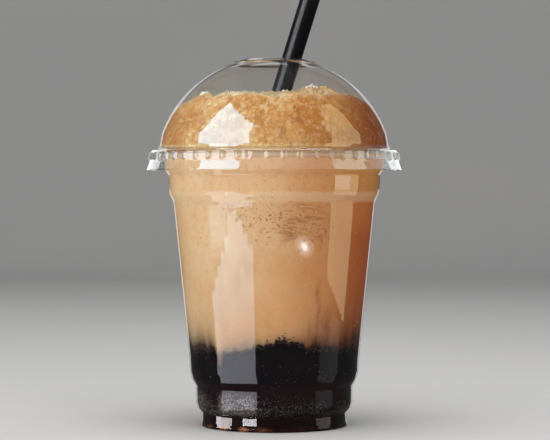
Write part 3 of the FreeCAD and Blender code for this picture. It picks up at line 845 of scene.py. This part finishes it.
patch = m.math("MULTIPLY", m.ramp(m.math("ABSOLUTE", m.math("SUBTRACT", ang, 0.28)), 0.36, 0.12),
               m.math("MULTIPLY", m.ramp(z_, 0.074, 0.079), m.ramp(z_, 0.094, 0.088)))
patch = m.math("MULTIPLY", patch, m.ramp(m.noise(240.0, 4.0, 0.65, (0.6, 0.6, 2.4)), 0.48, 0.60, 0.0, 0.55))
c = m.mix(patch, c, colour(176, 108, 52))
streak = m.math("MULTIPLY", band(0.60, 0.12, 0.030, 0.047, 0.006), 0.9)
streak = m.math("ADD", streak, m.math("MULTIPLY", band(0.49, 0.045, 0.031, 0.060, 0.005), 0.6))
streak = m.math("ADD", streak, m.math("MULTIPLY", band(0.38, 0.04, 0.030, 0.044, 0.004), 0.45), clamp=True)
streak = m.math("MULTIPLY", streak, m.ramp(m.noise(180.0, 3.0, 0.6, (1, 1, 0.25)), 0.3, 0.6))
c = m.mix(streak, c, colour(172, 84, 26))
reach = m.math("ADD", m.ramp(ang, -0.86, -0.66, 0.9, 0.0), m.ramp(ang, -0.30, -0.10, 4.1, 2.4))
reach = m.math("ADD", reach, m.math("ADD", m.ramp(ang, 0.20, 0.46, 0.0, 3.2), m.ramp(ang, 0.60, 0.95, 0.0, 3.4)))
much = m.math("ADD", m.ramp(ang, -0.90, -0.64, 2.2, 1.1), m.ramp(ang, 0.05, 0.35, 0.0, 0.60))
soft = m.math("POWER", 2.718, m.math("MULTIPLY", m.math("DIVIDE", m.attr("above"), reach), -1.0))
soft = m.math("MULTIPLY", m.math("MULTIPLY", soft, much), m.ramp(m.noise(230.0, 3.0, 0.6, (1, 1, 0.35)), 0.2, 0.7, 0.7, 1.0), clamp=True)
c = m.mix(m.math("MULTIPLY", soft, 0.96), c, m.mix(m.ramp(ang, 0.0, 0.6), colour(58, 36, 35), colour(76, 36, 26)))
tongue = m.math("MULTIPLY", m.ramp(m.math("ABSOLUTE", m.math("ADD", ang, 0.677)), 0.085, 0.055), m.ramp(z_, 0.0345, 0.0300))
c = m.mix(m.math("MULTIPLY", tongue, 0.75), c, colour(112, 76, 64))
near = m.math("POWER", 2.718, m.math("MULTIPLY", m.attr("above"), -0.34))
ragged = m.math("SUBTRACT", near, m.math("MULTIPLY", m.noise(620.0, 4.0, 0.65, (1, 1, 0.6)), 1.05))
c = m.mix(m.ramp(ragged, -0.10, 0.16), c, colour(34, 20, 22))
# painted highlight: a lighter band where the cup's step catches light
step_band_highlight = m.math("MULTIPLY", m.ramp(z_, 0.0917, 0.0932), m.ramp(z_, 0.0972, 0.0957))
c = m.mix(m.math("MULTIPLY", step_band_highlight, 0.45), c, colour(252, 226, 190))
hgt = m.math("ADD", m.noise(900.0, 3.0, 0.6), m.math("MULTIPLY", m.voronoi(650.0), 0.5))
drink_mat = m.surface(m.node("BsdfPrincipled", {
    "Base Color": c, "Roughness": 0.55, "Specular IOR Level": 0.15, "Subsurface Weight": 0.55,
    "Subsurface Radius": (1.0, 0.5, 0.22), "Subsurface Scale": 0.005, "Normal": m.bump(hgt, 0.12, 0.0003)}))

# slush heap
m = Mat("coffee_slush")
gold = colour(226, 173, 108)
amber = colour(204, 138, 60)
brown = colour(168, 100, 40)
cream = colour(236, 208, 176)
pale = colour(236, 198, 148)
cr, fr = m.attr("crest"), m.attr("froth")
c = m.mix(m.ramp(m.noise(62.0, 4.0, 0.6), 0.40, 0.60), amber, gold)
c = m.mix(m.math("MULTIPLY", m.ramp(m.noise(150.0, 4.0, 0.6, shift=(3, 1, 2)), 0.56, 0.70), 0.55), c, brown)
c = m.mix(m.math("MULTIPLY", m.ramp(cr, 0.40, 0.75), 0.45), c, pale)
c = m.mix(m.math("MULTIPLY", m.ramp(m.noise(430.0, 3.0, 0.6), 0.50, 0.62), 0.60), c, pale)
c = m.mix(m.math("MULTIPLY", m.ramp(m.noise(520.0, 3.0, 0.6, shift=(5, 2, 7)), 0.52, 0.64), 0.45), c, brown)
fleck = m.math("MULTIPLY", m.ramp(m.voronoi(700.0), 0.22, 0.10), m.ramp(m.noise(150.0, 2.0), 0.46, 0.60, 0.0, 0.8))
c = m.mix(fleck, c, cream)
fr = m.math("MULTIPLY", fr, m.ramp(m.noise(300.0, 3.0, 0.6), 0.25, 0.6, 0.35, 1.0))
c = m.mix(m.math("MULTIPLY", fr, 0.70), c, cream)
x_, y_, z_ = m.xyz()
# painted shade: the heap turns darker orange towards the right side, away from the light
right_side_shade = m.ramp(m.math("ADD", x_, m.math("MULTIPLY", m.math("SUBTRACT", m.noise(50.0, 3.0, 0.5), 0.5), 0.02)), -0.030, 0.046)
c = m.mix(m.math("MULTIPLY", right_side_shade, 0.4), c, colour(204, 122, 46))
left = m.math("MULTIPLY", m.ramp(x_, -0.016, -0.030), m.ramp(m.noise(90.0, 3.0, 0.6), 0.40, 0.62, 0.15, 0.75))
c = m.mix(left, c, colour(194, 134, 80))
# painted shade: the heap's right edge dark brown, where the light falls off
right_edge_shade = m.math("MULTIPLY", m.ramp(x_, 0.022, 0.040), m.ramp(m.noise(90.0, 3.0, 0.6), 0.30, 0.62, 0.7, 1.0))
c = m.mix(m.math("MULTIPLY", right_edge_shade, 0.88), c, colour(166, 80, 20))
hgt = m.math("ADD", m.noise(1100.0, 3.0, 0.6), m.math("MULTIPLY", m.voronoi(800.0), -0.8))
slush_mat = m.surface(m.node("BsdfPrincipled", {
    "Base Color": c, "Roughness": 0.3, "Specular IOR Level": 0.4, "Subsurface Weight": 0.35,
    "Subsurface Radius": (1.0, 0.5, 0.2), "Subsurface Scale": 0.003, "Normal": m.bump(hgt, 0.5, 0.0005)}))

m = Mat("pale_froth")
c = m.mix(m.ramp(m.noise(400.0, 3.0), 0.35, 0.65), colour(240, 222, 208), colour(222, 186, 154))
froth_mat = m.surface(m.node("BsdfPrincipled", {
    "Base Color": c, "Roughness": 0.35, "Subsurface Weight": 0.7, "Subsurface Radius": (1.0, 0.6, 0.35),
    "Subsurface Scale": 0.003, "Normal": m.bump(m.noise(1400.0, 2.0), 0.3, 0.0002)}))

m = Mat("slush_crumb")
c = m.mix(m.ramp(m.noise(350.0, 3.0), 0.35, 0.65), colour(228, 192, 146), colour(196, 138, 80))
crumb_mat = m.surface(m.node("BsdfPrincipled", {
    "Base Color": c, "Roughness": 0.28, "Subsurface Weight": 0.7, "Subsurface Radius": (1.0, 0.55, 0.25),
    "Subsurface Scale": 0.003, "Normal": m.bump(m.noise(1600.0, 2.0), 0.3, 0.0002)}))

# dark jelly in syrup
m = Mat("coffee_jelly_dark")
x_, y_, z_ = m.xyz()
c = m.mix(m.ramp(m.noise(140.0, 4.0, 0.6), 0.4, 0.7), (0.0042, 0.0034, 0.0050, 1), (0.010, 0.0055, 0.0065, 1))
c = m.mix(m.math("MULTIPLY", m.ramp(z_, 0.0095, 0.0130), m.ramp(z_, 0.0215, 0.0175, 0.0, 0.8)), c, (0.018, 0.0055, 0.0075, 1))
low = m.ramp(z_, 0.0075, 0.0050)
c = m.mix(low, c, (0.008, 0.0011, 0.0008, 1))
# painted glints: orange light along the bottom edge, bright on the left and dim on the right
bottom_glint = m.math("MULTIPLY", m.ramp(z_, 0.0026, 0.0008), m.ramp(m.noise(190.0, 3.0, 0.6, (1, 1, 0.6)), 0.44, 0.60))
c = m.mix(bottom_glint, c, m.mix(m.ramp(x_, -0.014, 0.000), colour(214, 138, 90), colour(60, 27, 16)))
# grit of fine bubbles in the syrup; partly painted light, as it shows more towards the left, where the light falls
grit_and_left_light = m.math("MULTIPLY", m.ramp(z_, 0.0130, 0.0075), m.ramp(z_, 0.0052, 0.0064))
grit_and_left_light = m.math("MULTIPLY", grit_and_left_light, m.ramp(m.noise(1100.0, 2.0, 0.6), 0.46, 0.70))
grit_and_left_light = m.math("MULTIPLY", grit_and_left_light, m.ramp(x_, -0.004, -0.016, 0.35, 1.0))
c = m.mix(m.math("MULTIPLY", grit_and_left_light, 0.7), c, colour(128, 114, 108))
ang = m.math("ARCTAN2", x_, m.math("MULTIPLY", y_, -1.0))
foam = m.math("MULTIPLY", m.ramp(ang, -0.82, -0.70), m.ramp(ang, -0.22, -0.28))
foam = m.math("ADD", foam, m.ramp(ang, -0.95, -1.2, 0.0, 0.6))
foam = m.math("MULTIPLY", foam, m.math("MULTIPLY", m.ramp(z_, 0.0168, 0.0120), m.ramp(z_, 0.0066, 0.0078)))
dots = m.math("MULTIPLY", m.ramp(m.voronoi(1500.0), 0.50, 0.24), m.ramp(m.noise(520.0, 2.0, 0.6), 0.36, 0.56, 0.25, 1.0))
foam = m.math("MULTIPLY", foam, m.math("ADD", dots, m.ramp(m.noise(1500.0, 3.0, 0.75), 0.50, 0.60, 0.04, 0.45), clamp=True))
c = m.mix(m.math("MULTIPLY", foam, 0.9), c, colour(206, 196, 192))
hgt = m.math("ADD", m.noise(420.0, 3.0, 0.6), m.math("MULTIPLY", m.voronoi(260.0), -0.5))
jelly_mat = m.surface(m.node("BsdfPrincipled", {
    "Base Color": c, "Roughness": 0.4, "Specular IOR Level": 0.05, "Normal": m.bump(hgt, 0.25, 0.0004)}))

m = Mat("jelly_crumb")
c = m.mix(m.ramp(m.noise(500.0, 2.0), 0.35, 0.65), colour(44, 26, 24), colour(92, 56, 44))
crumb_dark_mat = m.surface(m.node("BsdfPrincipled", {"Base Color": c, "Roughness": 0.45, "Specular IOR Level": 0.2,
                                                     "Normal": m.bump(m.noise(1500.0, 2.0), 0.2, 0.0002)}))
m = Mat("dark_pit")
c = m.mix(m.ramp(m.noise(500.0, 2.0), 0.35, 0.65), colour(200, 142, 94), colour(220, 168, 118))
pit_mat = m.surface(m.node("BsdfPrincipled", {"Base Color": c, "Roughness": 0.5, "Specular IOR Level": 0.2,
                                              "Normal": m.bump(m.noise(1500.0, 2.0), 0.2, 0.0002)}))
m = Mat("pale_bubble")
c = m.mix(m.ramp(m.noise(500.0, 2.0), 0.35, 0.65), colour(250, 226, 184), colour(232, 200, 154))
bubble_mat = m.surface(m.node("BsdfPrincipled", {"Base Color": c, "Roughness": 0.3, "Specular IOR Level": 0.4,
                                                 "Normal": m.bump(m.noise(1500.0, 2.0), 0.2, 0.0002)}))
m = Mat("syrup_bubble")
c = m.mix(m.ramp(m.noise(420.0, 2.0), 0.35, 0.65), colour(168, 152, 142), colour(104, 88, 80))
x_, y_, z_ = m.xyz()
# painted shade: the bubbles darker towards the right
c = m.mix(m.ramp(x_, -0.010, 0.000, 0.0, 0.55), c, colour(46, 38, 36))
grit_mat = m.surface(m.node("BsdfPrincipled", {"Base Color": c, "Roughness": 0.3, "Specular IOR Level": 0.4,
                                               "Normal": m.bump(m.noise(1500.0, 2.0), 0.2, 0.0002)}))

for ob, mat, node, slot in ((cup, cup_mat, "cup", "clear_cup"), (foot_sheet, cup_mat, "cup", "clear_cup"), (lid, lid_mat, "lid", "clear_lid"),
                            (skirt, lid_mat, "lid", "clear_lid"), (crown, lid_mat, "lid", "clear_lid"),
                            (straw, straw_mat, "straw", "black_straw"), (drink, drink_mat, "drink", "coffee_drink"),
                            (heap, slush_mat, "slush_heap", "coffee_slush"),
                            (jelly, jelly_mat, "jelly_layer", "coffee_jelly")):
    ob.data.materials.append(mat)
    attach(ob, "root")
    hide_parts(node)
for ob, mat, slot in ((specks, pit_mat, "coffee_drink"), (crumbs_dark, crumb_dark_mat, "coffee_jelly"), (bubbles, bubble_mat, "coffee_drink"),
                      (grit, grit_mat, "coffee_jelly"), (few, grit_mat, "coffee_jelly"),
                      (lumps, froth_mat, "coffee_slush"), (froth_b, froth_mat, "coffee_slush"),
                      (crumbs, crumb_mat, "coffee_slush")):
    ob.data.materials.append(mat)
    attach(ob, "root")

# ------------------------------------------------------------------ stage
bowl_path = [(r, 0.0) for r in np.linspace(60, 1500, 10)]
R2 = 700.0
bowl_path += [(1500 + R2 * math.sin(a), R2 * (1 - math.cos(a))) for a in np.linspace(0, math.pi / 2, 14)[1:]]
bowl_path += [(1500 + R2, 1500.0)]
verts, faces = [(0, 0, -0.00005)], []
SEG = 96
ph = np.arange(SEG) * 2 * math.pi / SEG
for r, z in bowl_path:
    verts += list(zip(r * np.sin(ph) * MM, -r * np.cos(ph) * MM, np.full(SEG, z * MM - 0.00005)))
faces += [(0, 1 + j, 1 + (j + 1) % SEG) for j in range(SEG)]
for i in range(len(bowl_path) - 1):
    faces += [f[::-1] for f in ring_faces(1 + i * SEG, SEG, 1 + (i + 1) * SEG, SEG)]
me = bpy.data.meshes.new("floor")
me.from_pydata(verts, [], faces)
me.update()
me.shade_smooth()
floor = bpy.data.objects.new("floor", me)
scene.collection.objects.link(floor)
m = Mat("studio_floor")
c = m.mix(m.ramp(m.noise(3.0, 3.0), 0.3, 0.7), (0.60, 0.60, 0.60, 1), (0.63, 0.625, 0.62, 1))
floor.data.materials.append(m.surface(m.node("BsdfPrincipled", {"Base Color": c, "Roughness": 0.6,
                                                                "Specular IOR Level": 0.3})))
floor.visible_glossy = False

world = bpy.data.worlds.new("studio")
scene.world = world
world.use_nodes = True
bg = world.node_tree.nodes["Background"]
bg.inputs["Color"].default_value = (1.0, 0.99, 0.98, 1)
bg.inputs["Strength"].default_value = 0.07

def linked(name, members):
    """A set of objects some lights are kept to."""
    coll = bpy.data.collections.new(name)
    scene.collection.children.link(coll)
    for ob in members:
        coll.objects.link(ob)
    return coll


contents = (drink, heap, jelly, specks, crumbs_dark, bubbles, grit, few, lumps, froth_b, crumbs)
straw_only = linked("straw_only", (straw,))
foot_only = linked("foot_only", (foot_sheet,))
cup_both = linked("cup_and_foot", (cup, foot_sheet))
skirt_only = linked("skirt_only", (skirt,))
cup_only = linked("cup_only", (cup,))
dome_only = linked("dome_only", (lid,))
crown_only = linked("crown_only", (crown,))
fill = linked("contents", contents)
room_set = linked("room", (floor,))
top_set = linked("contents_and_room", contents + (floor,))


def panel(name, centre_mm, look_mm, width, height, radiance, tint=(1, 1, 1), receivers=None, spread=180.0, direct=False):
    data = bpy.data.lights.new(name, "AREA")
    data.shape = "RECTANGLE"
    data.size, data.size_y = width * MM, height * MM
    data.color = tint
    data.spread = math.radians(spread)
    data.energy = radiance * math.pi * (width * MM) * (height * MM) * 1.0
    ob = bpy.data.objects.new(name, data)
    scene.collection.objects.link(ob)
    ob.location = Vector(centre_mm) * MM
    d = (Vector(look_mm) - Vector(centre_mm)).normalized()
    ob.rotation_euler = d.to_track_quat("-Z", "Y").to_euler()
    ob.visible_camera = False
    ob.visible_transmission = False
    if direct:
        data.cycles.use_multiple_importance_sampling = False
    if receivers is not None:
        ob.light_linking.receiver_collection = receivers
    return ob


def around(name, az0, az1, dist, z0, z1, radiance, parts, **kw):
    """Upright panels on an arc round the cup; az counts from the camera's side, positive to the right."""
    edges = np.radians(np.linspace(az0, az1, parts + 1))
    for k in range(parts):
        a, b = edges[k], edges[k + 1]
        p = np.array([math.sin(a), -math.cos(a)]) * dist
        q = np.array([math.sin(b), -math.cos(b)]) * dist
        mid = (p + q) / 2
        zc = (z0 + z1) / 2
        panel("%s_%d" % (name, k), (mid[0], mid[1], zc), (0, 0, zc), float(np.linalg.norm(q - p)), z1 - z0, radiance, **kw)


warm = (1.0, 0.985, 0.965)
cool_low, cool_high = (0.86, 0.94, 1.0), (0.50, 0.80, 1.0)


def gable(name, tops, parts, dist, z0, radiance, **kw):
    """Upright panels side by side under one sloping top edge; tops lists that edge's corners (az, z)."""
    az = [a for a, z in tops]
    edges = np.linspace(az[0], az[-1], parts + 1)
    for k in range(parts):
        top = float(np.interp((edges[k] + edges[k + 1]) / 2, az, [z for a, z in tops]))
        around("%s_%d" % (name, k), edges[k], edges[k + 1], dist, z0, top, radiance, 1, **kw)


# the big window light, left
gable("window_cup", [(-76, 25), (-67, 34), (-52.4, 49), (-48, 60), (-44, 65), (-35.3, 56), (-29.4, 49), (-22.6, 42)],
      10, 175, 15, 4.2, tint=(0.51, 0.79, 1.0), receivers=cup_only)
gable("window_mid", [(-76, 15), (-22.6, 15)], 10, 175, 9, 3.6, tint=(0.66, 0.83, 1.0), receivers=cup_only)
gable("window_low", [(-76, 9), (-22.6, 9)], 10, 175, -70, 3.05, tint=(0.87, 0.89, 1.0), receivers=cup_only)
for k in range(3):
    around("window_faint_%d" % k, -73.5 + 1.6 * k, -47 - 1.6 * k, 175, 44 + 3 * k, 67, 0.85, 1, tint=(0.54, 0.84, 1.0), receivers=cup_only)
gable("window_dome", [(-73.5, 387), (-41.3, 314), (-22.3, 258)], 8, 175, 150, 12.4, tint=(0.46, 0.80, 1.0), receivers=dome_only)
around("window_skirt", -67, -30.5, 175, 165, 235, 13.6, 1, tint=(0.41, 0.72, 0.97), receivers=skirt_only)
around("window_ribs", -75, -23, 175, 95, 165, 9.0, 2, tint=(0.92, 0.88, 0.96), receivers=skirt_only)
around("window_straw", -75, -23, 175, 60, 340, 4.2, 2, tint=(0.93, 0.94, 1.0), receivers=straw_only, direct=True)
# the narrow light, right
gable("strip_dome", [(54, 270), (58, 285), (64, 349), (68.5, 384), (88.5, 345)], 6, 190, 150, 3.0, tint=(1.0, 0.93, 0.52),
      receivers=dome_only)
around("front_skirt", -23, 53, 190, 95, 235, 0.8, 2, receivers=skirt_only)
around("strip_skirt_far", 86, 128, 190, 95, 240, 1.3, 1, tint=(0.85, 0.95, 1.0), receivers=skirt_only)
around("strip_skirt", 53, 86, 190, 95, 240, 4.6, 1, tint=(0.88, 1.0, 0.92), receivers=skirt_only)
for k in range(8):
    a0, a1 = 61.5 + 31.5 * k / 8, 61.5 + 31.5 * (k + 1) / 8
    around("strip_cup_%d" % k, a0, a1, 190, 29.0 - 17.0 * (k + 0.5) / 8, 100, 2.4, 1, tint=(1.0, 0.9, 0.56), receivers=cup_only)
around("strip_neck", 61.5, 80.5, 190, 76, 100, 2.1, 1, tint=(0.85, 0.95, 1.0), receivers=cup_only)
around("ledge_line", -85, 85, 150, 285, 800, 4.0, 4, receivers=skirt_only)
around("strip_low", 58, 88, 190, -60, 12, 0.3, 1, receivers=cup_only)
# light from behind along the outline
around("flare_left", -165, -128, 420, -20, 330, 2.3, 1, receivers=skirt_only)
around("flare_right", 128, 165, 420, -20, 330, 2.3, 1, receivers=skirt_only)
around("rim_left", -165, -153, 420, -80, 90, 0.7, 1, receivers=cup_both)
around("rim_right", 153, 165, 420, -80, 90, 0.7, 1, receivers=cup_both)
around("rim_dome_left", -172, -153, 420, 130, 262, 0.75, 1, receivers=dome_only)
around("rim_dome_right", 153, 172, 420, 130, 262, 0.75, 1, receivers=dome_only)
panel("crown_back", (0, 520, 340), (0, 0, 150), 430, 90, 0.9, receivers=crown_only)
panel("crown_line", (0, 420, 540), (0, 0, 147), 180, 34, 1.2, receivers=dome_only)
around("crown_right", 165, 172, 420, 395, 465, 1.3, 1, receivers=dome_only)
around("crown_left", -171, -166, 420, 350, 410, 0.9, 1, receivers=dome_only)
# under the skirt's edge
panel("skirt_under", (0, -260, -160), (0, -50, 105), 700, 160, 1.6, receivers=skirt_only)
# glints in the foot
around("foot_a", -97, -65, 175, -16, 70, 9.4, 1, tint=(1.0, 0.93, 0.95), receivers=foot_only)
around("foot_b", -46, -25.5, 175, -26, 26, 13.0, 1, tint=(0.98, 0.97, 1.0), receivers=foot_only)
around("foot_rim", 148, 165, 420, -80, 90, 0.12, 1, tint=(1.0, 0.9, 0.8), receivers=foot_only)
around("foot_c", 64, 93, 175, -10, 70, 1.1, 1, tint=(1.0, 0.75, 0.82), receivers=foot_only)
# a small lamp's spot, right of the middle
lamp_at = (190 * math.sin(math.radians(32.5)), -190 * math.cos(math.radians(32.5)), 40.8)
for k, (w, h, power) in enumerate(((24, 3.2, 12.0), (46, 6.2, 4.0), (74, 9.8, 1.6))):
    lamp = panel("lamp_%d" % k, lamp_at, (11.7, -37.9, 73.8), w, h, power, tint=(0.85, 0.97, 1.0), receivers=cup_only)
    lamp.data.shape = "ELLIPSE"
panel("key_soft", (-690, -580, 330), (0, 0, 90), 620, 620, 3.5, tint=warm, receivers=fill)
panel("fill_soft", (560, -620, 260), (0, 0, 90), 620, 620, 1.35, tint=warm, receivers=fill)
panel("top_soft", (-100, -100, 1300), (0, 0, 60), 900, 900, 1.5, tint=warm, receivers=top_set)
panel("room_fill", (0, -300, 1250), (0, 300, 0), 1700, 1700, 2.4, receivers=room_set)

# ------------------------------------------------------------------ camera
cam_data = bpy.data.cameras.new("camera")
cam_data.sensor_width = 36.0
cam_data.sensor_fit = "HORIZONTAL"
cam_data.lens = 36.0 * 2179.0 / 550.0
cam = bpy.data.objects.new("camera", cam_data)
scene.collection.objects.link(cam)
cam.location = (0.00033, -0.9, 0.097)
aim = Vector((0.00033, 0.0, 0.0848)) - cam.location
cam.rotation_euler = aim.to_track_quat("-Z", "Y").to_euler()
cam_data.clip_start, cam_data.clip_end = 0.05, 20.0
scene.camera = cam

scene.view_settings.view_transform = "Standard"
scene.view_settings.look = "None"
scene.view_settings.exposure = 0.0
scene.view_settings.gamma = 1.0
scene.cycles.max_bounces = 14
scene.cycles.transmission_bounces = 12
scene.cycles.transparent_max_bounces = 16
scene.cycles.glossy_bounces = 6
scene.cycles.diffuse_bounces = 4
